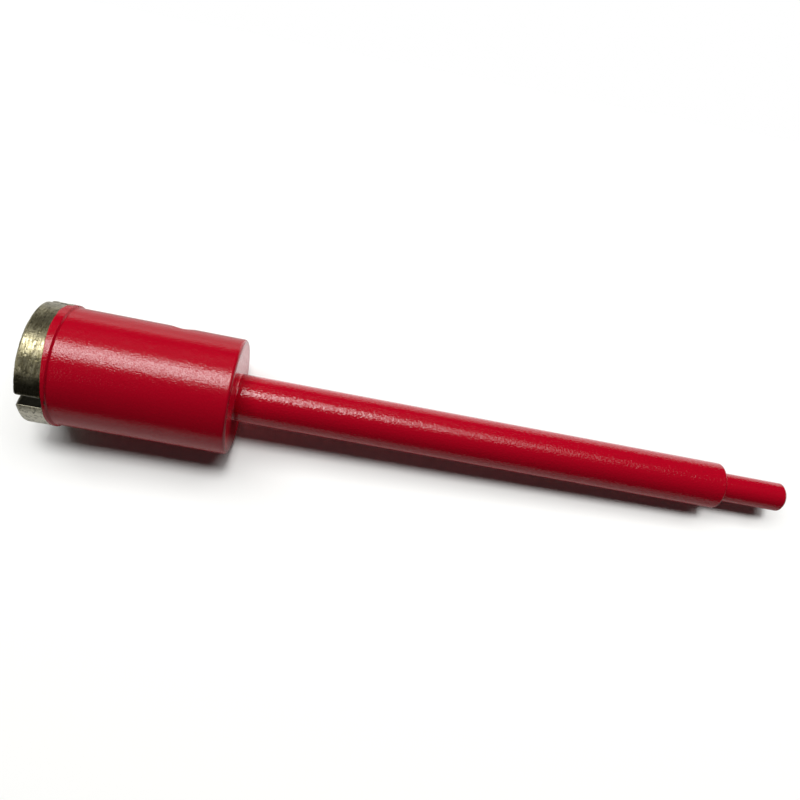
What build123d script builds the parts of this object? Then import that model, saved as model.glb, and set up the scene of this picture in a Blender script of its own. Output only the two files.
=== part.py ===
from build123d import *
import os

# Diamond core bit. Sizes are in millimetres and angles in degrees.
# The bit stands on its cutting rim: the rim lies in the plane Z = 0, the axis is +Z and
# the clamping shank is at the top.

# Crown: one sintered ring of diamond grit in metal, with open slots for water and dust.
crown_diameter = 40.0
crown_wall = 4.3
crown_height = 9.6
crown_base_height = 1.4  # closed ring above the slots, brazed to the barrel
slot_count = 3
slot_width = 3.3
first_slot_bearing = -52.8  # from +X, about +Z
slot_mouth_radius = 1.3  # worn corner where a slot opens in the rim
slot_root_radius = 0.6
rim_outer_radius = 1.0
rim_inner_chamfer = 0.6
crown_back_chamfer = 0.3

# Barrel: a steel tube, cross drilled so that a jammed core can be knocked out. The crown
# stands proud of it on both faces, which keeps the tube clear of the stone.
barrel_relief = 0.65  # how far the crown's outer face stands proud
barrel_wall = 2.3
barrel_length = 54.4
barrel_nose_chamfer = 0.3  # with the crown's back chamfer it leaves the groove at the joint
barrel_back_radius = 1.0
side_hole_diameter = 7.4
side_hole_setback = 21.5  # from the barrel's back face to the hole's centre

# End plug: a disc pressed into a seat at the back of the tube, flush with its end.
plug_thickness = 10.0
plug_seat_step = 0.4  # radial step that stops the plug
plug_clearance = 0.02  # radial
plug_edge_chamfer = 0.3

# Shaft: one turned bar with a tenon below for the plug and a reduced shank above.
shaft_diameter = 16.0
shaft_length = 170.0
tenon_shoulder = 2.0  # radial width of the shoulder that seats on the plug
tenon_clearance = 0.02  # radial
tenon_edge_chamfer = 0.5
shoulder_chamfer = 0.6
shank_diameter = 10.0
shank_length = 24.5
shank_chamfer = 1.0

# Radii that follow from these
crown_outer = crown_diameter / 2
crown_inner = crown_outer - crown_wall
barrel_outer = crown_outer - barrel_relief
barrel_inner = barrel_outer - barrel_wall
plug_seat = barrel_inner + plug_seat_step
tenon_radius = shaft_diameter / 2 - tenon_shoulder

# Heights of the joints, from the rim up
barrel_front = crown_height
barrel_back = barrel_front + barrel_length
plug_front = barrel_back - plug_thickness
side_hole_height = barrel_back - side_hole_setback
shoulder_height = barrel_back + shaft_length
shank_end = shoulder_height + shank_length


def circles_at(part, height):
    """The circular edges of a turned part at one height, smallest first."""
    level = part.edges().filter_by(GeomType.CIRCLE).filter_by_position(Axis.Z, height, height)
    return level.sort_by(SortBy.RADIUS)


def turned(points):
    """A solid turned about Z from a closed outline of (radius, height) points."""
    with BuildPart() as part:
        with BuildSketch(Plane.XZ):
            with BuildLine():
                Polyline(*points, close=True)
            make_face()
        revolve(axis=Axis.Z)
    return part.part


def slot_cutter():
    """Cuts one slot along +X: small corners at the root, worn corners at the mouth."""
    depth = crown_height - crown_base_height
    reach = crown_outer + slot_width
    with BuildPart() as cutter:
        with BuildSketch(Plane.YZ) as outline:
            Rectangle(slot_width, depth, align=(Align.CENTER, Align.MIN))
            Rectangle(slot_width + 4 * slot_mouth_radius, slot_width, align=(Align.CENTER, Align.MAX))
            levels = outline.vertices().group_by(Axis.Y)
            fillet(levels[-1], slot_root_radius)
            mouth = levels[1].sort_by(Axis.X)[1:-1]
            fillet(mouth, slot_mouth_radius)
        extrude(amount=reach)
    return cutter.part


def diamond_crown():
    outline = [
        (crown_inner, 0),
        (crown_outer, 0),
        (crown_outer, crown_height),
        (crown_inner, crown_height),
    ]
    with BuildPart() as crown:
        add(turned(outline))
        chamfer(circles_at(crown, 0)[0], rim_inner_chamfer)
        fillet(circles_at(crown, 0)[-1], rim_outer_radius)
        chamfer(circles_at(crown, crown_height)[-1], crown_back_chamfer)
        with PolarLocations(0, slot_count, start_angle=first_slot_bearing):
            add(slot_cutter(), mode=Mode.SUBTRACT)
    return crown.part


def barrel_tube():
    outline = [
        (barrel_inner, barrel_front),
        (barrel_outer, barrel_front),
        (barrel_outer, barrel_back),
        (plug_seat, barrel_back),
        (plug_seat, plug_front),
        (barrel_inner, plug_front),
    ]
    with BuildPart() as tube:
        add(turned(outline))
        chamfer(circles_at(tube, barrel_front)[-1], barrel_nose_chamfer)
        fillet(circles_at(tube, barrel_back)[-1], barrel_back_radius)
        with Locations((0, 0, side_hole_height)):
            Cylinder(side_hole_diameter / 2, 3 * barrel_outer, rotation=(0, 90, 0), mode=Mode.SUBTRACT)
    return tube.part


def end_plug():
    edge = plug_seat - plug_clearance
    hole = tenon_radius + tenon_clearance
    with BuildPart() as plug:
        add(turned([(hole, plug_front), (edge, plug_front), (edge, barrel_back), (hole, barrel_back)]))
        chamfer(circles_at(plug, plug_front)[0], plug_edge_chamfer)
    return plug.part


def shaft():
    outline = [
        (0, plug_front),
        (tenon_radius, plug_front),
        (tenon_radius, barrel_back),
        (shaft_diameter / 2, barrel_back),
        (shaft_diameter / 2, shoulder_height),
        (shank_diameter / 2, shoulder_height),
        (shank_diameter / 2, shank_end),
        (0, shank_end),
    ]
    with BuildPart() as bar:
        add(turned(outline))
        chamfer(circles_at(bar, plug_front), tenon_edge_chamfer)
        chamfer(circles_at(bar, shoulder_height)[-1], shoulder_chamfer)
        chamfer(circles_at(bar, shank_end), shank_chamfer)
    return bar.part


pieces = {
    "diamond_crown": diamond_crown,
    "barrel_tube": barrel_tube,
    "end_plug": end_plug,
    "shaft": shaft,
}

os.makedirs("parts", exist_ok=True)
for name, make in pieces.items():
    export_step(make(), f"parts/{name}.step")
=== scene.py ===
import math

import bmesh
import bpy
import numpy as np
from mathutils import Matrix, Vector


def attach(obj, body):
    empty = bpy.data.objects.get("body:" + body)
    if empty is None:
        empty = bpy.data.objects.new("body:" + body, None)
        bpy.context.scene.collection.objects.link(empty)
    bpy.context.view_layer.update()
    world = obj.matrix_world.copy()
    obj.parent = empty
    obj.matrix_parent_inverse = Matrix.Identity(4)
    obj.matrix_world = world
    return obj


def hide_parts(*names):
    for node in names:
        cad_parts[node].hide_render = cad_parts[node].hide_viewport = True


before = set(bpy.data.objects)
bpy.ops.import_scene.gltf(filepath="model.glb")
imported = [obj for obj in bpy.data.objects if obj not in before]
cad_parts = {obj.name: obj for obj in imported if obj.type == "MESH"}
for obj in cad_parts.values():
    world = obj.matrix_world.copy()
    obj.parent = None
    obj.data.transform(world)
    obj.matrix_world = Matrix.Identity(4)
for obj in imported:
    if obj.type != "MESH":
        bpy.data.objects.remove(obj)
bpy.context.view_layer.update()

mm = 0.001
print("frame loaded")


def measure(name):
    # a node's radii and heights in millimetres, read from its mesh
    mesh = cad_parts[name].data
    points = np.empty(len(mesh.vertices) * 3)
    mesh.vertices.foreach_get("co", points)
    points = points.reshape(-1, 3) / mm
    radius = np.hypot(points[:, 0], points[:, 1])
    height = points[:, 2]
    return {"outer": radius.max(), "inner": radius.min(), "low": height.min(), "high": height.max()}


crown, barrel, plug, bar = (measure(name) for name in ("diamond_crown", "barrel_tube", "end_plug", "shaft"))

cameraSet = {
    "rimCentre": (-0.11675, -0.01277, 0.2346),  # crown rim's centre seen from the camera: right, down, ahead
    "axisTurn": 10.69,  # the axis falls to the right by this much, degrees
    "axisTilt": 5.35,  # and leads away from the camera
    "bearing": 4.5,  # camera stands this far from -Y towards -X
    "pixelsOfFocus": 721,
    "pixelsWide": 800,
    "sensor": 36.0,
}
side = math.radians(cameraSet["bearing"])
axisUp = Vector((0, 0, 1))
towardsCamera = Vector((-math.sin(side), -math.cos(side), 0))
acrossUp = Vector((-math.cos(side), math.sin(side), 0))


def cameraAxes(s):
    # the camera's right, down and ahead directions in the part's frame, and its place
    turn, tilt = math.radians(s["axisTurn"]), math.radians(s["axisTilt"])
    rim = Vector(s["rimCentre"])
    along = Vector((math.cos(tilt) * math.cos(turn), math.cos(tilt) * math.sin(turn), math.sin(tilt)))
    towards = (-rim + along * rim.dot(along)).normalized()
    up = towards.cross(along)
    basis = (axisUp, towardsCamera, acrossUp)
    seen = (along, towards, up)
    right, down, ahead = (sum((b * v[i] for b, v in zip(basis, seen)), Vector()) for i in range(3))
    place = sum((b * -rim.dot(v) for b, v in zip(basis, seen)), Vector())
    return right, down, ahead, place


camRight, camDown, camAhead, camPlace = cameraAxes(cameraSet)
camData = bpy.data.cameras.new("camera")
camData.sensor_width = cameraSet["sensor"]
camData.lens = cameraSet["sensor"] * cameraSet["pixelsOfFocus"] / cameraSet["pixelsWide"]
camData.clip_start = 0.01
camera = bpy.data.objects.new("camera", camData)
bpy.context.scene.collection.objects.link(camera)
camera.matrix_world = Matrix.Translation(camPlace) @ Matrix(
    (camRight, -camDown, -camAhead)).transposed().to_4x4()
bpy.context.scene.camera = camera
print("camera set")


def linear(hexCode):
    # sRGB hex to the linear colour that nodes take
    parts = [int(hexCode[i:i + 2], 16) / 255 for i in (1, 3, 5)]
    return tuple(c / 12.92 if c <= 0.04045 else ((c + 0.055) / 1.055) ** 2.4 for c in parts) + (1.0,)


def add(nodes, kind, settings=None, **links):
    # one node, with its own properties, its sockets' values and the links that feed it
    node = nodes.new("ShaderNode" + kind)
    for name, value in (settings or {}).items():
        setattr(node, name, value)
    for name, value in links.items():
        key = int(name[1:]) if name[0] == "_" and name[1:].isdigit() else name.replace("_", " ")
        socket = node.inputs[key]
        if isinstance(value, bpy.types.NodeSocket):
            nodes.id_data.links.new(value, socket)
        else:
            socket.default_value = value
    return node


def blank(name):
    # a new material with no nodes yet, and the list that its nodes go into
    material = bpy.data.materials.new(name)
    material.use_nodes = True
    material.node_tree.nodes.clear()
    return material, material.node_tree.nodes


def finishWith(material, shader):
    # joins the last shader to the material's output
    output = material.node_tree.nodes.new("ShaderNodeOutputMaterial")
    material.node_tree.links.new(shader, output.inputs["Surface"])
    return material


tableSet = {
    "lean": 10.0,  # the table's normal, from the camera's side towards the upper side, degrees
    "gapBarrel": 0.05,
    "gapShaft": 3.0,
    "along": 260.0,  # half its length and half its width
    "across": 150.0,
}


def makeTable(s):
    # a flat sheet that touches the barrel's back edge and passes just under the shaft's shoulder
    lean = math.radians(s["lean"])
    outward = towardsCamera * math.cos(lean) + acrossUp * math.sin(lean)
    shoulder = shaftSet["shoulderHeight"]
    first = axisUp * (barrel["high"] * mm) - outward * ((barrel["outer"] + s["gapBarrel"]) * mm)
    second = axisUp * (shoulder * mm) - outward * ((bar["outer"] + s["gapShaft"]) * mm)
    along = (second - first).normalized()
    across = along.cross(outward).normalized()
    middle = (first + second) / 2
    corners = [middle + along * a * s["along"] * mm + across * b * s["across"] * mm
               for a, b in ((-1, -1), (1, -1), (1, 1), (-1, 1))]
    mesh = bpy.data.meshes.new("table")
    mesh.from_pydata([tuple(c) for c in corners], [], [(0, 1, 2, 3)])
    if mesh.polygons[0].normal.dot(outward) < 0:
        mesh.flip_normals()
    table = bpy.data.objects.new("table", mesh)
    bpy.context.scene.collection.objects.link(table)
    return table


paperSet = {
    "seen": "#FAFAF8",  # by the camera
    "mirrored": "#A2A2A0",  # in reflections
    "mirroredBeside": "#FFFFFF",  # a painted patch of light, seen only in reflections, past the barrel's back face and above the shaft
    "bounced": "#8C8C89",  # in the light that goes to the bit
    "bouncedAgain": "#202020",  # and in what comes after it
    "softAcross": 4.0,  # half the width over which the white part begins, across the axis, mm
    "softAlong": 2.0,  # and the length over which it begins, along the axis
}


def tablePaper(s):
    # matt paper: pure white to the camera, light grey in reflections but white beside the barrel's back face,
    # where a painted patch of light gives that face a painted reflection, and grey in the soft light that it
    # sends back to the bit. From behind it is clear, so that the back of the bit can be seen and lit
    material, nodes = blank("whitePaper")
    place = add(nodes, "TexCoord")
    split = add(nodes, "SeparateXYZ", Vector=place.outputs["Object"])
    height = add(nodes, "VectorMath", {"operation": "DOT_PRODUCT"}, _0=place.outputs["Object"],
                 _1=tuple(acrossUp))
    above = add(nodes, "MapRange", Value=height.outputs["Value"], From_Min=-s["softAcross"] * mm,
                From_Max=s["softAcross"] * mm)
    past = add(nodes, "MapRange", Value=split.outputs["Z"], From_Min=barrel["high"] * mm,
               From_Max=(barrel["high"] + s["softAlong"]) * mm)
    # painted patch of light: white in reflections only beside the back face and above the shaft
    beside = add(nodes, "Math", {"operation": "MULTIPLY"}, _0=above.outputs[0], _1=past.outputs[0])
    pale = add(nodes, "MixRGB", Fac=beside.outputs[0], Color1=linear(s["mirrored"]),
               Color2=linear(s["mirroredBeside"]))
    ray = add(nodes, "LightPath")
    clean = add(nodes, "BsdfDiffuse", Color=linear(s["seen"]))
    mirrored = add(nodes, "BsdfDiffuse", Color=pale.outputs[0])
    deep = add(nodes, "Math", {"operation": "GREATER_THAN"}, _0=ray.outputs["Diffuse Depth"], _1=1.5)
    grey = add(nodes, "MixRGB", Fac=deep.outputs[0], Color1=linear(s["bounced"]),
               Color2=linear(s["bouncedAgain"]))
    dull = add(nodes, "BsdfDiffuse", Color=grey.outputs[0])
    reflected = add(nodes, "MixShader", _0=ray.outputs["Is Glossy Ray"], _1=dull.outputs[0],
                    _2=mirrored.outputs[0])
    shown = add(nodes, "MixShader", _0=ray.outputs["Is Camera Ray"], _1=reflected.outputs[0],
                _2=clean.outputs[0])
    clear = add(nodes, "BsdfTransparent")
    geometry = add(nodes, "NewGeometry")
    see = add(nodes, "Math", {"operation": "MAXIMUM"}, _0=geometry.outputs["Backfacing"],
              _1=ray.outputs["Is Shadow Ray"])
    mix = add(nodes, "MixShader", _0=see.outputs[0], _1=shown.outputs[0], _2=clear.outputs[0])
    return finishWith(material, mix.outputs[0])


lampSet = {  # seen from the bit: degrees up and along the axis, spans in degrees, radiance, what it lights
    "softBox": (28.8, -15.0, 25.0, 35.0, 7.8, "painted"),
    "softBoxEdge": (28.8, 11.5, 25.0, 18.0, 2.2, "painted"),
    "crownBox": (25.5, -17.0, 21.0, 32.0, 7.6, "crown"),
    "crownTop": (80.0, -15.0, 50.0, 50.0, 0.22, "crown"),
    "crownLeft": (35.0, -70.0, 60.0, 40.0, 1.0, "crown"),
    "crownGlow": (-20.0, -29.0, 16.0, 12.0, 1.2, "crown"),
    "paintGlow": (-18.0, -34.0, 14.0, 10.0, 0.9, "painted"),
    "wash": (64.0, -5.0, 24.0, 40.0, 4.4, "bit"),
    "farSide": (25.0, -5.0, 34.0, 40.0, 6.0, "bit"),
    "backFaceGlow": (72.0, 48.0, 30.0, 30.0, 7.0, "backFace"),
    "underGlow": (-40.0, -5.0, 40.0, 40.0, 4.5, "bit"),
    "tableWide": (31.5, -4.5, 24.0, 66.0, 5.2, "table"),
    "tableKey": (22.5, 1.5, 12.0, 12.0, 33.0, "table"),
}
behindTable = ("farSide", "underGlow")  # these shine through the sheet from behind
noReflection = ("wash", "underGlow", "tableWide", "tableKey")
laterBounces = 0.15  # what is left of the lamps behind the sheet after the light's first bounce


def areaLamp(name, fromUp, fromAlong, spanUp, spanAlong, radiance, lit, distance=2.0, target=0.1):
    # a flat lamp at the distance (m) from a point on the axis at the target height (m), in the direction and
    # with the spans that it is given, lighting only its own group. Its power is radiance times pi times its
    # area. A lamp behind the sheet fades after one bounce, so that little red is thrown into the shadow
    behind = name in behindTable
    lamp = bpy.data.lights.new(name, "AREA")
    lamp.shape = "RECTANGLE"
    lamp.size = 2 * distance * math.tan(math.radians(spanAlong / 2))
    lamp.size_y = 2 * distance * math.tan(math.radians(spanUp / 2))
    lamp.energy = radiance * math.pi * lamp.size * lamp.size_y
    up, along = math.radians(fromUp), math.radians(fromAlong)
    outward = -towardsCamera if behind else towardsCamera
    back = (outward * math.cos(up) + acrossUp * math.sin(up)) * math.cos(along) + axisUp * math.sin(along)
    right = (axisUp - back * back.dot(axisUp)).normalized()
    if behind:
        lamp.use_nodes = True
        nodes = lamp.node_tree.nodes
        nodes.clear()
        ray = add(nodes, "LightPath")
        first = add(nodes, "MapRange", Value=ray.outputs["Diffuse Depth"], To_Min=1.0,
                    To_Max=laterBounces)
        glow = add(nodes, "Emission", Strength=first.outputs[0])
        add(nodes, "OutputLight", Surface=glow.outputs[0])
    holder = bpy.data.objects.new(name, lamp)
    bpy.context.scene.collection.objects.link(holder)
    holder.matrix_world = Matrix.Translation(axisUp * target + back * distance) @ Matrix(
        (right, back.cross(right), back)).transposed().to_4x4()
    holder.light_linking.receiver_collection = groups[lit]
    holder.visible_glossy = name not in noReflection


worldSet = {
    "room": 0.02,  # strength of the dim room
    "backgroundFrom": 0.3,  # how far back the background starts, from -1 to 1
}


def makeWorld(s):
    # white to the camera; in reflections white only behind the bit, where the background is, and a dim room
    # in front of it
    world = bpy.data.worlds.new("world")
    bpy.context.scene.world = world
    world.use_nodes = True
    nodes = world.node_tree.nodes
    nodes.clear()
    ray = add(nodes, "LightPath")
    place = add(nodes, "TexCoord")
    split = add(nodes, "SeparateXYZ", Vector=place.outputs["Generated"])
    behind = add(nodes, "Math", {"operation": "GREATER_THAN"}, _0=split.outputs["Y"],
                 _1=s["backgroundFrom"])
    glossy = add(nodes, "Math", {"operation": "MULTIPLY"}, _0=ray.outputs["Is Glossy Ray"],
                 _1=behind.outputs[0])
    seen = add(nodes, "Math", {"operation": "MAXIMUM"}, _0=ray.outputs["Is Camera Ray"],
               _1=ray.outputs["Is Transmission Ray"])
    shown = add(nodes, "Math", {"operation": "MAXIMUM"}, _0=seen.outputs[0], _1=glossy.outputs[0])
    white = add(nodes, "Background", Color=linear("#FFFFFF"), Strength=1.0)
    dim = add(nodes, "Background", Color=linear("#FFFFFF"), Strength=s["room"])
    mix = add(nodes, "MixShader", _0=shown.outputs[0], _1=dim.outputs[0], _2=white.outputs[0])
    add(nodes, "OutputWorld", Surface=mix.outputs[0])


def quads(index, loopRows=False, loopColumns=True):
    # four-sided faces between neighbouring rows and columns of a grid of vertex numbers
    a = np.vstack([index, index[:1]]) if loopRows else index
    a = np.hstack([a, a[:, :1]]) if loopColumns else a
    return np.stack([a[:-1, :-1], a[:-1, 1:], a[1:, 1:], a[1:, :-1]], -1).reshape(-1, 4)


def makePiece(name, points, faceSets, replaced=None):
    # a smooth mesh from arrays of points (mm) and faces, its normals turned outwards
    mesh = bpy.data.meshes.new(name)
    mesh.vertices.add(len(points))
    mesh.vertices.foreach_set("co", (points * mm).astype(np.float32).ravel())
    corners = np.concatenate([f.ravel() for f in faceSets])
    sizes = np.concatenate([np.full(len(f), f.shape[1]) for f in faceSets])
    mesh.loops.add(len(corners))
    mesh.loops.foreach_set("vertex_index", corners.astype(np.int32))
    mesh.polygons.add(len(sizes))
    mesh.polygons.foreach_set("loop_start", np.concatenate([[0], np.cumsum(sizes)[:-1]]).astype(np.int32))
    mesh.update(calc_edges=True)
    work = bmesh.new()
    work.from_mesh(mesh)
    bmesh.ops.recalc_face_normals(work, faces=work.faces)
    work.to_mesh(mesh)
    work.free()
    mesh.shade_smooth()
    piece = bpy.data.objects.new(name, mesh)
    bpy.context.scene.collection.objects.link(piece)
    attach(piece, "root")
    if replaced:
        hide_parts(replaced)
    print(f"{name}: {len(sizes)} faces")
    return piece


def around(radius, angle, height):
    # points from cylinder coordinates; the three arrays share one shape or stretch to it
    radius, angle, height = np.broadcast_arrays(radius, angle, height)
    return np.stack([radius * np.cos(angle), radius * np.sin(angle), height], -1)


def rounded(corners, step=2.0, arcSteps=6, support=0.06):
    # an outline through (radius, height, rounding) corners: each rounding is an arc tangent to its two
    # runs, with a point just outside each end that keeps the runs flat, and runs are cut to the step
    points = [np.array(corners[0][:2], float)]

    def goTo(point):
        # a straight run from the last point, cut into equal parts
        start = points[-1]
        parts = max(1, math.ceil(np.linalg.norm(point - start) / step - 1e-6))
        points.extend(start + (point - start) * k / parts for k in range(1, parts + 1))

    for before, (x, z, radius), after in zip(corners, corners[1:], corners[2:]):
        corner = np.array((x, z), float)
        back = np.array(before[:2], float) - corner
        ahead = np.array(after[:2], float) - corner
        back, ahead = back / np.linalg.norm(back), ahead / np.linalg.norm(ahead)
        if radius == 0:
            goTo(corner)
            continue
        half = math.acos(np.clip(back @ ahead, -1, 1)) / 2
        reach = radius / math.tan(half)
        centre = corner + (back + ahead) / np.linalg.norm(back + ahead) * radius / math.sin(half)
        goTo(corner + back * (reach + support))
        first, last = corner + back * reach - centre, corner + ahead * reach - centre
        sweep = math.pi - 2 * half
        for t in np.linspace(0, 1, arcSteps + 1):
            arrow = first * math.sin((1 - t) * sweep) + last * math.sin(t * sweep)
            points.append(centre + arrow / math.sin(sweep))
        points.append(corner + ahead * (reach + support))
    goTo(np.array(corners[-1][:2], float))
    return np.array(points)


def latticeNoise(points, cell, seed):
    # smooth noise from -1 to 1: seeded values at the corners of cells, blended smoothly across each cell
    table = np.random.default_rng(seed).uniform(-1, 1, (64, 64, 64))
    scaled = points / cell
    low = np.floor(scaled).astype(int)
    t = scaled - low
    t = t * t * (3 - 2 * t)
    value = np.zeros(points.shape[:-1])
    for corner in np.ndindex(2, 2, 2):
        weight = np.prod(np.where(corner, t, 1 - t), axis=-1)
        x, y, z = np.moveaxis((low + corner) % 64, -1, 0)
        value += weight * table[x, y, z]
    return value


def fromCameraSide(angle):
    # degrees about the axis from the side that faces the camera, growing upwards, for an angle from +X
    return (np.degrees(-np.pi / 2 - side - angle) + 180) % 360 - 180


crownSet = {
    "slots": 3,
    "firstSlot": -52.8,  # degrees from +X
    "slotWidth": 3.25,
    "slotDepth": 8.2,
    "rootRadius": 0.6,
    "mouthRadius": 1.3,  # worn corners where a slot opens in the rim
    "mouthBore": 0.5,  # how much further out the corner stands at the bore, where it is less worn
    "mouthSpread": 0.9,  # over this much of the edge, on either side of the mouth
    "rimEdge": 0.9,
    "slotEdge": 0.3,
    "ledEdge": 1.3,  # the edge of a slot that meets the stone first
    "rimBoreEdge": 0.2,
    "slotBoreEdge": 0.2,
    "backEdge": 0.75,  # chamfer at the back, which the paint film covers
    "skin": 0.05,  # bare metal lies this far under the paint film
    "spacing": 0.19,
    "faceRows": 44,
    "wallRows": 14,
    "innerRows": 22,
    "rimWear": 0.16,  # depth of the rim's wear, and the height it has died out at
    "rimWearHeight": 2.2,
    "nickSize": (0.9, 0.9, 3.0),
    "swellSize": (5.0, 5.0, 9.0),
    "grain": 0.012,  # depth of the skin's grain, and the sizes of it, the streaks and the patches
    "grainSize": 0.35,
    "streakSize": (6.0, 6.0, 0.5),
    "patchSize": (2.5, 2.5, 2.5),
    "pits": 420,
    "pitSizes": (0.16, 0.42),
    "pitDepth": 0.22,  # as a share of its size
    "seed": 11,
    # painted reflection: the metal is drawn paler below and above the camera's side, and a painted highlight
    # along the slots' leading edges
    "reflectionBelow": (42, 14),  # degrees below the camera's side where the painted reflection starts, and its fading
    "reflectionAbove": (52, 24),
    "reflectionAboveShare": 0.75,
    "slotGlint": 0.8,
    # painted shade: a dark band drawn on the metal between these two angles from the camera's side
    "darkBandFrom": (15, 9),  # degrees below the camera's side where the painted dark band starts, and its fading
    "darkBandTo": (42, 4),  # and where it ends
    "darkBandShare": 0.6,
}


def slotOutline(s, reach):
    # the lower edge of the ring, from a slot's middle to the middle of the next segment, unrolled: across the
    # root, round its corner, down the wall, round the worn corner and along the rim. Gives for each point
    # its place, the direction out of the metal and how far it is on the rim rather than in the slot
    half, depth, root, mouth = s["slotWidth"] / 2, s["slotDepth"], s["rootRadius"], s["mouthRadius"]

    def fractions(length):
        # how far along a run of the length its points lie, from 0 up to less than 1
        return np.linspace(0, 1, max(3, round(length / s["spacing"])), endpoint=False)[:, None]

    t = fractions(half - root)
    parts = [(np.hstack([t * (half - root), 0 * t + depth]), np.hstack([0 * t, 0 * t - 1]), 0 * t)]
    t = fractions(root * math.pi / 2) * math.pi / 2
    arrow = np.hstack([np.sin(t), np.cos(t)])
    parts.append(((half - root, depth - root) + root * arrow, -arrow, 0 * t))
    t = fractions(depth - root - mouth)
    parts.append((np.hstack([0 * t + half, depth - root - t * (depth - root - mouth)]),
                  np.hstack([0 * t - 1, 0 * t]), 0 * t))
    t = fractions(mouth * math.pi / 2)
    arrow = np.hstack([-np.cos(t * math.pi / 2), -np.sin(t * math.pi / 2)])
    parts.append(((half + mouth, mouth) + mouth * arrow, arrow, t * t * (3 - 2 * t)))
    start = half + mouth
    t = fractions(reach - start)
    parts.append((np.hstack([start + t * (reach - start), 0 * t]), np.hstack([0 * t, 0 * t - 1]), 0 * t + 1))
    place, out, worn = (np.vstack(p) for p in zip(*parts))
    return place, out, worn[:, 0]


def crownGrid(s):
    # the ring as one closed grid. Columns follow the notched lower edge round the ring; rows go down the
    # outer face, over its rounded edge, through the wall, over the inner edge, up the inner face and across
    # the top. It also gives the painted shade at each point (drawn dark on the slots' walls and in the bore,
    # clear on the rim) and a painted highlight on the rounded edge of each slot that meets the stone first
    outer, inner, high = crown["outer"] - s["skin"], crown["inner"], crown["high"]
    sector = 2 * math.pi / s["slots"]
    reach = outer * sector / 2
    halves = []
    for edge in (s["slotEdge"], s["ledEdge"]):
        place, out, onRim = slotOutline(s, reach)
        length = np.concatenate([[0], np.cumsum(np.hypot(*np.diff(place, axis=0).T))])
        top = length / length[-1] * reach * (1 - 0.5 / len(length))
        mouth = np.exp(-((length - length[np.searchsorted(onRim, 0.5)]) / s["mouthSpread"]) ** 2)
        halves.append(np.column_stack([place, out, onRim, edge + (s["rimEdge"] - edge) * onRim, top, mouth]))
    leading, trailing = halves[0], halves[1][:0:-1]
    trailing = trailing * (-1, 1, -1, 1, 1, 1, -1, 1) + (2 * reach, 0, 0, 0, 0, 0, 2 * reach, 0)
    led = np.arange(len(leading) + len(trailing)) >= len(leading)
    across, height, outX, outZ, onRim, edge, top, mouth = np.vstack([leading, trailing]).T
    turns = [math.radians(s["firstSlot"]) + k * sector for k in range(s["slots"])]
    across, top = (np.concatenate([t * outer + a for t in turns]) for a in (across, top))
    height, outX, outZ, edge, onRim, mouth, led = (np.tile(a, s["slots"]) for a in (
        height, outX, outZ, edge, onRim, mouth, led))
    bore = s["slotBoreEdge"] + (s["rimBoreEdge"] - s["slotBoreEdge"]) * onRim

    # slot walls are parallel, so towards the bore they stand at a wider angle
    gap = (across / outer - turns[0] + sector / 2) % sector - sector / 2
    nearSlot = np.abs(gap) * outer / (s["slotWidth"] / 2)
    fade = np.clip((nearSlot - 1) / (outer * sector / s["slotWidth"] - 1), 0, 1)
    widening = math.asin(s["slotWidth"] / 2 / inner) - s["slotWidth"] / 2 / outer
    widening = np.sign(gap) * widening * np.minimum(nearSlot, 1) * (1 - fade * fade * (3 - 2 * fade))

    wall = outer - inner
    rows = []

    def row(x, z, depth, shadeMask, paintedGlint=0):
        # one row from its unrolled place and its depth under the outer face, turned into angle and radius
        push = s["mouthBore"] * mouth * depth / wall
        x, z = x + outX * push, z + outZ * push
        angle = x / outer + widening * depth / wall
        rows.append((angle, z, outer - depth + 0 * x, shadeMask + 0 * x, paintedGlint + 0 * x))

    back = s["backEdge"]
    for t in np.linspace(0, 1, s["faceRows"], endpoint=False):
        x = top + t * (across - outX * edge - top)
        row(x, high - back + t * (height - outZ * edge - high + back), 0, 0)
    # each row's fourth value is painted shade: growing over the rounded edge into the slots, full on their
    # walls and roots, half on the rim's inner edge, 0.8 in the bore and across the top; the fifth is a
    # painted highlight on the rounded edge of the leading side
    for angle in np.linspace(0, math.pi / 2, 7):
        inset = edge * (1 - math.sin(angle))
        row(across - outX * inset, height - outZ * inset, edge * (1 - math.cos(angle)),
            (1 - onRim) * (angle / math.pi * 2) ** 4, led * (1 - onRim) * math.sin(2 * angle))
    for t in np.linspace(0, 1, s["wallRows"] + 1)[1:-1]:
        row(across, height, edge + t * (wall - bore - edge), 1 - onRim)
    for angle in np.linspace(0, math.pi / 2, 6):
        inset = bore * (1 - math.cos(angle))
        row(across - outX * inset, height - outZ * inset, wall - bore * (1 - math.sin(angle)),
            1 - 0.5 * onRim)
    for t in np.linspace(0, 1, s["innerRows"])[1:]:
        x = across - outX * bore + t * (top - across + outX * bore)
        row(x, height - outZ * bore + t * (high - height + outZ * bore), wall, 0.8)
    for t in np.linspace(0, 1, 6)[1:]:
        row(top, high + 0 * top, wall + t * (back - wall), 0.8)
    angle, height, radius, shadeMask, paintedGlint = (np.stack(a) for a in zip(*rows))
    return around(radius, angle, height), shadeMask, paintedGlint


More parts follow.
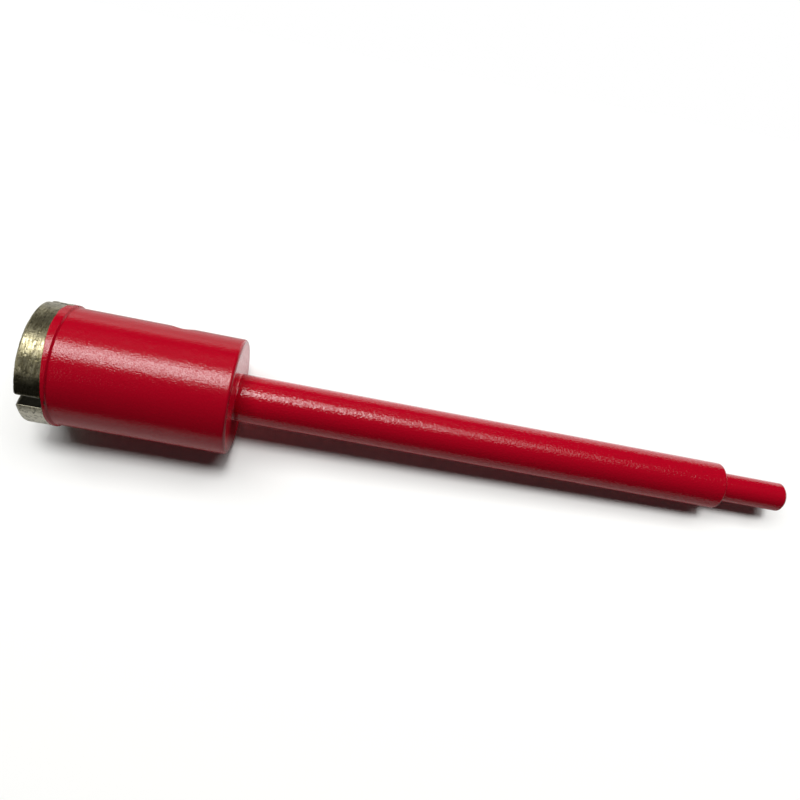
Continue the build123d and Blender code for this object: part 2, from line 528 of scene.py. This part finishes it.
def wearCrown(points, s):
    # ground and used metal: the rim is worn back unevenly and nicked, less so further from the stone. The
    # skin moves along its normal by a fine grain, streaks round the ring, patches, and bell-shaped pits where
    # grit has broken out. The result is kept within the crown's radius and height
    down = np.roll(points, -1, 0) - np.roll(points, 1, 0)
    along = np.roll(points, -1, 1) - np.roll(points, 1, 1)
    normal = np.cross(down, along)
    normal /= np.linalg.norm(normal, axis=-1, keepdims=True) + 1e-9
    middle = s["faceRows"] // 2
    if (normal[middle] * points[middle] * (1, 1, 0)).sum() < 0:
        normal = -normal
    height = points[..., 2]
    nicks = latticeNoise(points, s["nickSize"], s["seed"])
    swells = latticeNoise(points, s["swellSize"], s["seed"] + 1)
    worn = s["rimWear"] * (0.35 + 0.3 * swells + np.clip(nicks - 0.35, 0, 1))
    worn = np.clip(worn, 0, None) * np.clip(1 - height / s["rimWearHeight"], 0, 1) ** 1.5
    depth = s["grain"] * latticeNoise(points, s["grainSize"], s["seed"] + 2)
    depth += 1.2 * s["grain"] * latticeNoise(points, s["streakSize"], s["seed"] + 3)
    depth += 2.0 * s["grain"] * latticeNoise(points, s["patchSize"], s["seed"] + 4)
    rng = np.random.default_rng(s["seed"] + 5)
    flat = points.reshape(-1, 3)
    centres = flat[rng.integers(0, len(flat), s["pits"])]
    sizes = rng.uniform(*s["pitSizes"], s["pits"])
    pitted = np.zeros(len(flat))
    for centre, size in zip(centres, sizes):
        near = ((flat - centre) ** 2).sum(1) / size ** 2
        pitted -= s["pitDepth"] * size * np.exp(-near * 2)
    depth += pitted.reshape(height.shape)
    points = points + normal * (depth - 2.5 * s["grain"])[..., None]
    points[..., 2] += worn
    radius = np.hypot(points[..., 0], points[..., 1])
    shrink = np.minimum(1, (crown["outer"] - 0.01) / radius)
    points[..., :2] *= shrink[..., None]
    points[..., 2] = np.clip(points[..., 2], 0, crown["high"])
    return points


def makeCrown(s):
    # the worn grid as a mesh with two attributes. A painted reflection grows past two angles from the
    # camera's side, with a painted highlight on the edges that meet the stone first. Painted shade is the
    # grid's own, and a painted dark band between two angles
    points, shadeMask, paintedGlint = crownGrid(s)
    turn = fromCameraSide(np.arctan2(points[..., 1], points[..., 0]))
    # painted reflection, paler past two angles from the camera's side, and a painted highlight on the leading
    # edges
    (below, belowFade), (above, aboveFade) = s["reflectionBelow"], s["reflectionAbove"]
    paintedReflection = np.clip((-turn - below) / belowFade, 0, 1)
    paintedReflection = paintedReflection + s["reflectionAboveShare"] * np.clip((turn - above) / aboveFade, 0, 1)
    paintedReflection = np.maximum(paintedReflection, s["slotGlint"] * paintedGlint)
    # painted shade: a dark band between two angles from the camera's side
    (start, startFade), (end, endFade) = s["darkBandFrom"], s["darkBandTo"]
    paintedDarkBand = s["darkBandShare"] * np.clip((-turn - start) / startFade, 0, 1)
    shadeMask = np.maximum(shadeMask, paintedDarkBand * np.clip((turn + end) / endFade, 0, 1))
    points = wearCrown(points, s)
    index = np.arange(points.shape[0] * points.shape[1]).reshape(points.shape[:2])
    piece = makePiece("crown", points.reshape(-1, 3), [quads(index, loopRows=True)],
                      "diamond_crown")
    for name, values in (("paintedShade", shadeMask), ("paintedReflection", paintedReflection)):
        layer = piece.data.attributes.new(name, "FLOAT", "POINT")
        layer.data.foreach_set("value", values.astype(np.float32).ravel())
    return piece


collarSet = {
    "columns": 720,
    "edge": 8.25,  # where the paint ends above the rim, far from the side it creeps down on
    "creep": 1.6,
    "creepAngle": 50.0,  # degrees from the camera's side, upwards
    "creepSpread": 45.0,
    "ragged": 0.12,
    "slotMargin": 0.12,  # paint stays this far above the slot's root
    "slotCover": (0.7, 0.6),  # up to this far past the slot's wall, fading over this much
    "lip": ((0.0, 0.09), (0.0, 0.045), (0.03, 0.02), (0.08, 0.004), (0.14, 0.0)),  # rise, and depth under
    "slopeBefore": 0.5,  # the film slopes down to the barrel over the joint
    "slopeAfter": 0.35,
    "seed": 31,
}


def makeCollar(s):
    # the paint film over the crown's base and the joint: a closed section carried round the ring, its lower
    # end on a ragged line. The line is a height plus a bell-shaped dip on one side and two sizes of noise,
    # and it keeps clear of the slots' roots
    angle = np.linspace(0, 2 * math.pi, s["columns"], endpoint=False)
    turn = fromCameraSide(angle)
    dip = (turn - s["creepAngle"] + 180) % 360 - 180
    edge = s["edge"] - s["creep"] * np.exp(-(dip / s["creepSpread"]) ** 2)
    ring = around(crown["outer"], angle, 0)
    fine = latticeNoise(ring, 0.8, s["seed"] + 1)
    edge += s["ragged"] * latticeNoise(ring, 2.4, s["seed"]) + 0.6 * s["ragged"] * fine
    sector = 360 / crownSet["slots"]
    fromSlot = (np.degrees(angle) - crownSet["firstSlot"] + sector / 2) % sector - sector / 2
    across = np.abs(np.radians(fromSlot)) * crown["outer"]
    reach, soft = s["slotCover"]
    cover = np.clip((crownSet["slotWidth"] / 2 + reach - across) / soft, 0, 1)
    slotTop = crownSet["slotDepth"] + s["slotMargin"]
    edge += np.clip(slotTop - edge, 0, None) * cover * cover * (3 - 2 * cover)
    outer, joint, tube = crown["outer"], crown["high"], barrel["outer"]
    shoulder = joint - s["slopeBefore"]
    rows = [(edge + rise, outer - under) for rise, under in s["lip"]]
    lipTop = s["lip"][-1][0]
    for t in (0.04, 0.2, 0.4, 0.6, 0.8, 0.96, 1.0):
        rows.append((edge + lipTop + t * (shoulder - edge - lipTop), outer))
    slope = s["slopeBefore"] + s["slopeAfter"]
    for t in np.linspace(0, 1, 15)[1:]:
        rows.append((shoulder + t * slope + 0 * edge, outer - (outer - tube - 0.04) * t * t * (3 - 2 * t)))
    rest = [(s["slopeAfter"] + 0.3, tube + 0.012), (s["slopeAfter"] + 0.55, tube - 0.02),
            (s["slopeAfter"] + 0.55, tube - 0.12), (0.0, tube - 0.3), (-0.4, outer - 0.3)]
    rows += [(joint + height + 0 * edge, radius) for height, radius in rest]
    rows.append((edge + 0.15, outer - 0.25))
    height = np.stack([h for h, r in rows])
    radius = np.array([r for h, r in rows])[:, None]
    points = around(radius, angle[None], height)
    ripple = 0.008 * latticeNoise(points, (1.5, 1.5, 1.5), s["seed"] + 2)
    grow = 1 + (ripple - 0.008) / radius
    points[..., :2] *= grow[..., None]
    index = np.arange(points.shape[0] * points.shape[1]).reshape(points.shape[:2])
    return makePiece("paintCollar", points.reshape(-1, 3), [quads(index, loopRows=True)])


barrelSet = {
    "columns": 360,
    "noseEdge": 0.25,
    "backEdge": 1.0,
    "holeHeight": 42.5,
    "holeRadius": 3.7,
    "holeEdge": 0.4,
    "boreEdge": 0.15,
    "window": 16,  # columns from the hole's middle to the side of its square window
    "windowRows": 16,
}


def makeBarrel(s):
    # the tube as one closed grid: its wall's outline carried round the axis, with two square windows left
    # out. Each window is filled by rings that go from its border to the round hole, over the hole's rounded
    # edge, through the wall and out to the border of the window in the bore
    outer, inner, low, high = (barrel[k] for k in ("outer", "inner", "low", "high"))
    seat = plug["outer"] + 0.02
    step = 2 * math.pi / s["columns"]
    half = s["window"] * step * outer
    windowLow, windowHigh = s["holeHeight"] - half, s["holeHeight"] + half
    windowRun = np.linspace(windowLow, windowHigh, s["windowRows"] + 1)
    nose = rounded([(inner + 1, low, 0), (outer, low, s["noseEdge"]), (outer, windowLow, 0)])[:-1]
    back = rounded([(outer, windowHigh, 0), (outer, high, s["backEdge"]), (seat, high, 0.1),
                    (seat, plug["low"], 0), (inner, plug["low"], 0.1), (inner, windowHigh, 0)])[1:-1]
    bore = rounded([(inner, windowLow, 0), (inner, low, 0.1), (inner + 1, low, 0)])[1:-1]
    outline = np.vstack([nose, np.column_stack([0 * windowRun + outer, windowRun]), back,
                         np.column_stack([0 * windowRun + inner, windowRun[::-1]]), bore])
    angle = -math.pi / 2 + step * np.arange(s["columns"])
    points = around(outline[:, :1], angle[None], outline[:, 1:])
    index = np.arange(points.shape[0] * points.shape[1]).reshape(points.shape[:2])
    outside = np.arange(len(nose), len(nose) + s["windowRows"] + 1)
    inside = np.arange(len(nose) + len(windowRun) + len(back), len(outline) - len(bore))[::-1]
    middles = [s["columns"] // 4, 3 * s["columns"] // 4]
    keep = np.ones(index.shape, bool)
    for middle in middles:
        for rowsCut in (outside, inside[::-1]):
            keep[rowsCut[0]:rowsCut[-1], middle - s["window"]:middle + s["window"]] = False
    faces = [quads(index, loopRows=True)[keep.ravel()]]
    cloud = [points.reshape(-1, 3)]
    count = index.size

    def border(rows, middle):
        # the vertex numbers round a window's border
        block = index[np.ix_(rows, np.arange(middle - s["window"], middle + s["window"] + 1))]
        return np.concatenate([block[0, :-1], block[:-1, -1], block[-1, :0:-1], block[:0:-1, 0]])

    for middle in middles:
        outerLoop, innerLoop = border(outside, middle), border(inside, middle)
        start, end = cloud[0][outerLoop], cloud[0][innerLoop]
        way = math.copysign(1, start[0, 0])
        turn = np.arctan2(start[:, 2] - s["holeHeight"], start[:, 1])
        aim = np.column_stack([np.cos(turn), np.sin(turn)])
        centre = np.array((0, s["holeHeight"]))
        rings = []

        def ring(yz, radius):
            # a ring from its places across and up, put on the cylinder of the radius
            x = way * np.sqrt(radius ** 2 - yz[:, 0] ** 2)
            rings.append(np.column_stack([x, yz]))

        rim, lip, wall = s["holeRadius"] + s["holeEdge"], s["boreEdge"], outer - inner
        for t in (0.3, 0.55, 0.75, 0.9, 0.97):
            ring(start[:, 1:] + t * (centre + aim * rim - start[:, 1:]), outer)
        for a in np.linspace(0, math.pi / 2, 7):
            depth = s["holeEdge"] * (1 - math.cos(a))
            ring(centre + aim * (rim - s["holeEdge"] * math.sin(a)), outer - depth)
        for t in (0.03, 0.35, 0.65, 0.97):
            ring(centre + aim * s["holeRadius"], outer - s["holeEdge"] - t * (wall - s["holeEdge"] - lip))
        for a in np.linspace(0, math.pi / 2, 4):
            ring(centre + aim * (s["holeRadius"] + lip * (1 - math.cos(a))), inner + lip * (1 - math.sin(a)))
        for t in (0.03, 0.2, 0.5):
            first = centre + aim * (s["holeRadius"] + lip)
            ring(first + t * (end[:, 1:] - first), inner)
        own = count + np.arange(len(rings) * len(outerLoop)).reshape(len(rings), -1)
        count += own.size
        cloud.append(np.vstack(rings))
        faces.append(quads(np.vstack([outerLoop, own, innerLoop])))
    return makePiece("barrel", np.vstack(cloud), faces, "barrel_tube")


def turnedPiece(name, outline, columns, replaced=None, closed=False):
    # an outline of (radius, height) carried round the axis: a closed outline makes a ring, and one that
    # starts and ends on the axis makes a solid, closed there by fans of triangles
    angle = np.linspace(0, 2 * math.pi, columns, endpoint=False)
    if closed:
        points = around(outline[:, :1], angle[None], outline[:, 1:]).reshape(-1, 3)
        index = np.arange(len(points)).reshape(len(outline), columns)
        return makePiece(name, points, [quads(index, loopRows=True)], replaced)
    body = outline[1:-1]
    points = around(body[:, :1], angle[None], body[:, 1:]).reshape(-1, 3)
    index = np.arange(len(points)).reshape(len(body), columns)
    poles = np.array([(0, 0, outline[0, 1]), (0, 0, outline[-1, 1])])
    fans = [np.column_stack([np.full(columns, len(points) + k), ring, np.roll(ring, -1)])
            for k, ring in enumerate((index[0], index[-1]))]
    return makePiece(name, np.vstack([points, poles]), [quads(index)] + fans, replaced)


shaftSet = {
    "columns": 160,
    "shoulderHeight": 234.0,
    "shoulderEdge": 0.9,
    "shankRadius": 5.0,
    "shankRoot": 0.35,  # paint gathered in the corner
    "tipSlope": 1.0,
    "tipEdge": 0.45,
    "tenonRadius": 6.0,
}


def makeShaft(s):
    # a solid of revolution: tenon, seat against the plug, bar, shoulder, shank and a tip sloping in
    low, high, outer = bar["low"], bar["high"], bar["outer"]
    seat, shoulder, tip = barrel["high"], s["shoulderHeight"], s["tipSlope"]
    outline = rounded([
        (0, low, 0), (s["tenonRadius"], low, 0.4), (s["tenonRadius"], seat, 0), (outer, seat, 0),
        (outer, shoulder, s["shoulderEdge"]), (s["shankRadius"], shoulder, s["shankRoot"]),
        (s["shankRadius"], high - tip, s["tipEdge"]), (s["shankRadius"] - tip, high, s["tipEdge"]),
        (0, high, 0)])
    return turnedPiece("shaftBar", outline, s["columns"], "shaft")


backSet = {"columns": 240, "film": 0.05, "fillet": 0.28, "reach": 18.2}


def makeBackFilm(s):
    # paint and weld over the closed back: a thin sheet over the plug and the tube's end that rises in a
    # fillet against the shaft
    high, outer, film = barrel["high"], bar["outer"], s["film"]
    outline = rounded([
        (s["reach"], high - 0.1, 0), (s["reach"], high - 0.015, 0), (s["reach"] - 0.5, high + film, 0.3),
        (outer + 0.02, high + film, s["fillet"]), (outer + 0.01, high + s["fillet"] + 0.2, 0),
        (outer - 0.03, high + s["fillet"] + 0.7, 0), (outer - 0.25, high + s["fillet"] + 0.7, 0),
        (outer - 0.25, high - 0.1, 0), (s["reach"], high - 0.1, 0)])
    return turnedPiece("backPaint", outline[:-1], s["columns"], closed=True)


pieces = {
    "crown": makeCrown(crownSet),
    "collar": makeCollar(collarSet),
    "barrel": makeBarrel(barrelSet),
    "shaft": makeShaft(shaftSet),
    "back": makeBackFilm(backSet),
}
table = makeTable(tableSet)
table.data.materials.append(tablePaper(paperSet))
print("pieces made")

painted = [piece for name, piece in pieces.items() if name != "crown"] + [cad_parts["end_plug"]]
members = {
    "painted": painted,
    "crown": [pieces["crown"]],
    "bit": painted + [pieces["crown"]],
    "table": [table],
    "backFace": [pieces["back"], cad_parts["end_plug"]],
}
groups = {}
for group, lit in members.items():
    groups[group] = bpy.data.collections.new(group)
    for piece in lit:
        groups[group].objects.link(piece)
for name, values in lampSet.items():
    areaLamp(name, *values)
makeWorld(worldSet)
print("lights set")


enamelSet = {
    "red": "#B3031F",
    "roughness": 0.16,
    "index": 1.5,
    "waveSize": 1.5,  # mm
    "dustShare": 0.85,  # size of the gloss's grains, as a share of the peel's
    "bareMargin": 0.12,  # bare steel reaches this far past the bore's radius, mm
    "bareReach": 0.1,  # and this far above the plug's inner face
    "steel": ("#4E4A46", "#9C9890"),
    "scaleSize": 3.0,  # mm
    "steelRoughness": 0.42,
}
peelSet = {  # orange peel: size and depth of its grains in mm, how far their gloss varies, wave depth
    "barrel": (0.5, 0.066, 0.175, 0.02),
    "shaft": (0.67, 0.104, 0.23, 0.02),
}


def redPaint(s, name, grain, depth, spread, wave):
    # gloss red spray enamel on steel: deep crimson, its highlight broken into fine grains by orange peel. The
    # spray doesn't reach the bore, which shows dull bare steel: up to the bore's radius and under the plug
    material, nodes = blank(name)
    place = add(nodes, "TexCoord")
    spot = place.outputs["Object"]
    peel = add(nodes, "TexNoise", Vector=spot, Scale=1 / (grain * mm), Detail=1.0, Roughness=0.5)
    waves = add(nodes, "TexNoise", Vector=spot, Scale=1 / (s["waveSize"] * mm), Detail=0.0, Roughness=0.4)
    fine = add(nodes, "Bump", Height=peel.outputs["Fac"], Strength=1.0, Distance=depth * mm)
    bump = add(nodes, "Bump", Height=waves.outputs["Fac"], Strength=1.0, Distance=wave * mm,
               Normal=fine.outputs["Normal"])
    dust = add(nodes, "TexNoise", Vector=spot, Scale=1 / (s["dustShare"] * grain * mm), Detail=0.0)
    gloss = add(nodes, "MapRange", Value=dust.outputs["Fac"], From_Min=0.35, From_Max=0.65,
                To_Min=0.5 - spread, To_Max=0.5 + spread)
    split = add(nodes, "SeparateXYZ", Vector=spot)
    across = add(nodes, "CombineXYZ", X=split.outputs["X"], Y=split.outputs["Y"], Z=0.0)
    radius = add(nodes, "VectorMath", {"operation": "LENGTH"}, _0=across.outputs[0])
    near = add(nodes, "Math", {"operation": "LESS_THAN"}, _0=radius.outputs["Value"],
               _1=(barrel["inner"] + s["bareMargin"]) * mm)
    low = add(nodes, "Math", {"operation": "LESS_THAN"}, _0=split.outputs["Z"],
              _1=(plug["low"] + s["bareReach"]) * mm)
    bare = add(nodes, "Math", {"operation": "MULTIPLY"}, _0=near.outputs[0], _1=low.outputs[0])
    scale = add(nodes, "TexNoise", Vector=spot, Scale=1 / (s["scaleSize"] * mm), Detail=3.0, Roughness=0.6)
    dark, light = (linear(colour) for colour in s["steel"])
    steel = add(nodes, "MixRGB", Fac=scale.outputs["Fac"], Color1=dark, Color2=light)
    colour = add(nodes, "MixRGB", Fac=bare.outputs[0], Color1=linear(s["red"]), Color2=steel.outputs[0])
    rough = add(nodes, "MapRange", Value=bare.outputs[0], To_Min=s["roughness"], To_Max=s["steelRoughness"])
    shader = add(nodes, "BsdfPrincipled", Base_Color=colour.outputs[0], Metallic=bare.outputs[0],
                 Roughness=rough.outputs[0], IOR=s["index"], Specular_IOR_Level=gloss.outputs[0],
                 Normal=bump.outputs["Normal"])
    return finishWith(material, shader.outputs[0])


matrixSet = {
    "metal": ("#766F50", "#C9C1A0"),  # dark and light streaks
    "cloud": "#5C5641",
    # the painted reflection's colour
    "paintedReflection": "#F0EBD9",
    "stain": "#57513F",
    # the painted shade's colour
    "paintedShade": "#2E2C22",
    "streakSize": (2.6, 0.5),  # mm, round the ring and along the axis
    "patchSize": 1.1,
    "cloudSize": 4.0,
    "roughness": (0.38, 0.28),
    "streakDepth": 0.05,
}


def sinteredMetal(s):
    # ground sintered bronze and cobalt with diamond grit: dull olive grey metal, streaked round the ring by
    # the grinding, spotted with grit and pits, paler where a reflection is painted on, darkened with painted
    # shade in the slots and the bore
    material, nodes = blank("groundDiamondMatrix")
    place = add(nodes, "TexCoord")
    spot = place.outputs["Object"]
    ringwise, axial = s["streakSize"]
    flat = add(nodes, "Mapping", Vector=spot, Scale=(
        1 / (ringwise * mm), 1 / (ringwise * mm), 1 / (axial * mm)))
    streak = add(nodes, "TexNoise", Vector=flat.outputs[0], Scale=1.0, Detail=3.0, Roughness=0.65)
    patch = add(nodes, "TexNoise", Vector=spot, Scale=1 / (s["patchSize"] * mm), Detail=3.0, Roughness=0.65)
    cloud = add(nodes, "TexNoise", Vector=spot, Scale=1 / (s["cloudSize"] * mm), Detail=2.0, Roughness=0.5)
    blend = add(nodes, "MapRange", Value=streak.outputs["Fac"], From_Min=0.32, From_Max=0.68)
    dark, light = (linear(colour) for colour in s["metal"])
    colour = add(nodes, "MixRGB", Fac=blend.outputs[0], Color1=dark, Color2=light)
    uneven = add(nodes, "MapRange", Value=cloud.outputs["Fac"], From_Min=0.4, From_Max=0.6, To_Min=0.0,
                 To_Max=0.5)
    shaded = add(nodes, "MixRGB", Fac=uneven.outputs[0], Color1=colour.outputs[0], Color2=linear(s["cloud"]))
    # painted reflection: paler where the mesh's attribute says
    reflectionLayer = add(nodes, "Attribute", {"attribute_name": "paintedReflection"})
    pale = add(nodes, "MixRGB", Fac=reflectionLayer.outputs["Fac"], Color1=shaded.outputs[0], Color2=linear(s["paintedReflection"]))
    stain = add(nodes, "MapRange", Value=patch.outputs["Fac"], From_Min=0.54, From_Max=0.64, To_Max=0.75)
    stained = add(nodes, "MixRGB", Fac=stain.outputs[0], Color1=pale.outputs[0], Color2=linear(s["stain"]))
    # painted shade: darker where the mesh's attribute says
    paintedShade = add(nodes, "Attribute", {"attribute_name": "paintedShade"})
    inShade = add(nodes, "MixRGB", Fac=paintedShade.outputs["Fac"], Color1=stained.outputs[0],
                Color2=linear(s["paintedShade"]))
    dull, smooth = s["roughness"]
    rough = add(nodes, "MapRange", Value=streak.outputs["Fac"], From_Min=0.3, From_Max=0.7, To_Min=dull,
                To_Max=smooth)
    bump = add(nodes, "Bump", Height=streak.outputs["Fac"], Strength=1.0, Distance=s["streakDepth"] * mm)
    shader = add(nodes, "BsdfPrincipled", Base_Color=inShade.outputs[0], Metallic=1.0,
                 Roughness=rough.outputs[0], Normal=bump.outputs["Normal"])
    return finishWith(material, shader.outputs[0])


paint = redPaint(enamelSet, "redSprayEnamel", *peelSet["barrel"])
finishes = {
    "crown": sinteredMetal(matrixSet),
    "shaft": redPaint(enamelSet, "redSprayEnamelShaft", *peelSet["shaft"]),
}
for name, piece in pieces.items():
    piece.data.materials.append(finishes.get(name, paint))
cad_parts["end_plug"].data.materials.clear()
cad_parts["end_plug"].data.materials.append(paint)
print("finishes set")

bpy.context.scene.view_settings.view_transform = "Standard"
bpy.context.view_layer.update()
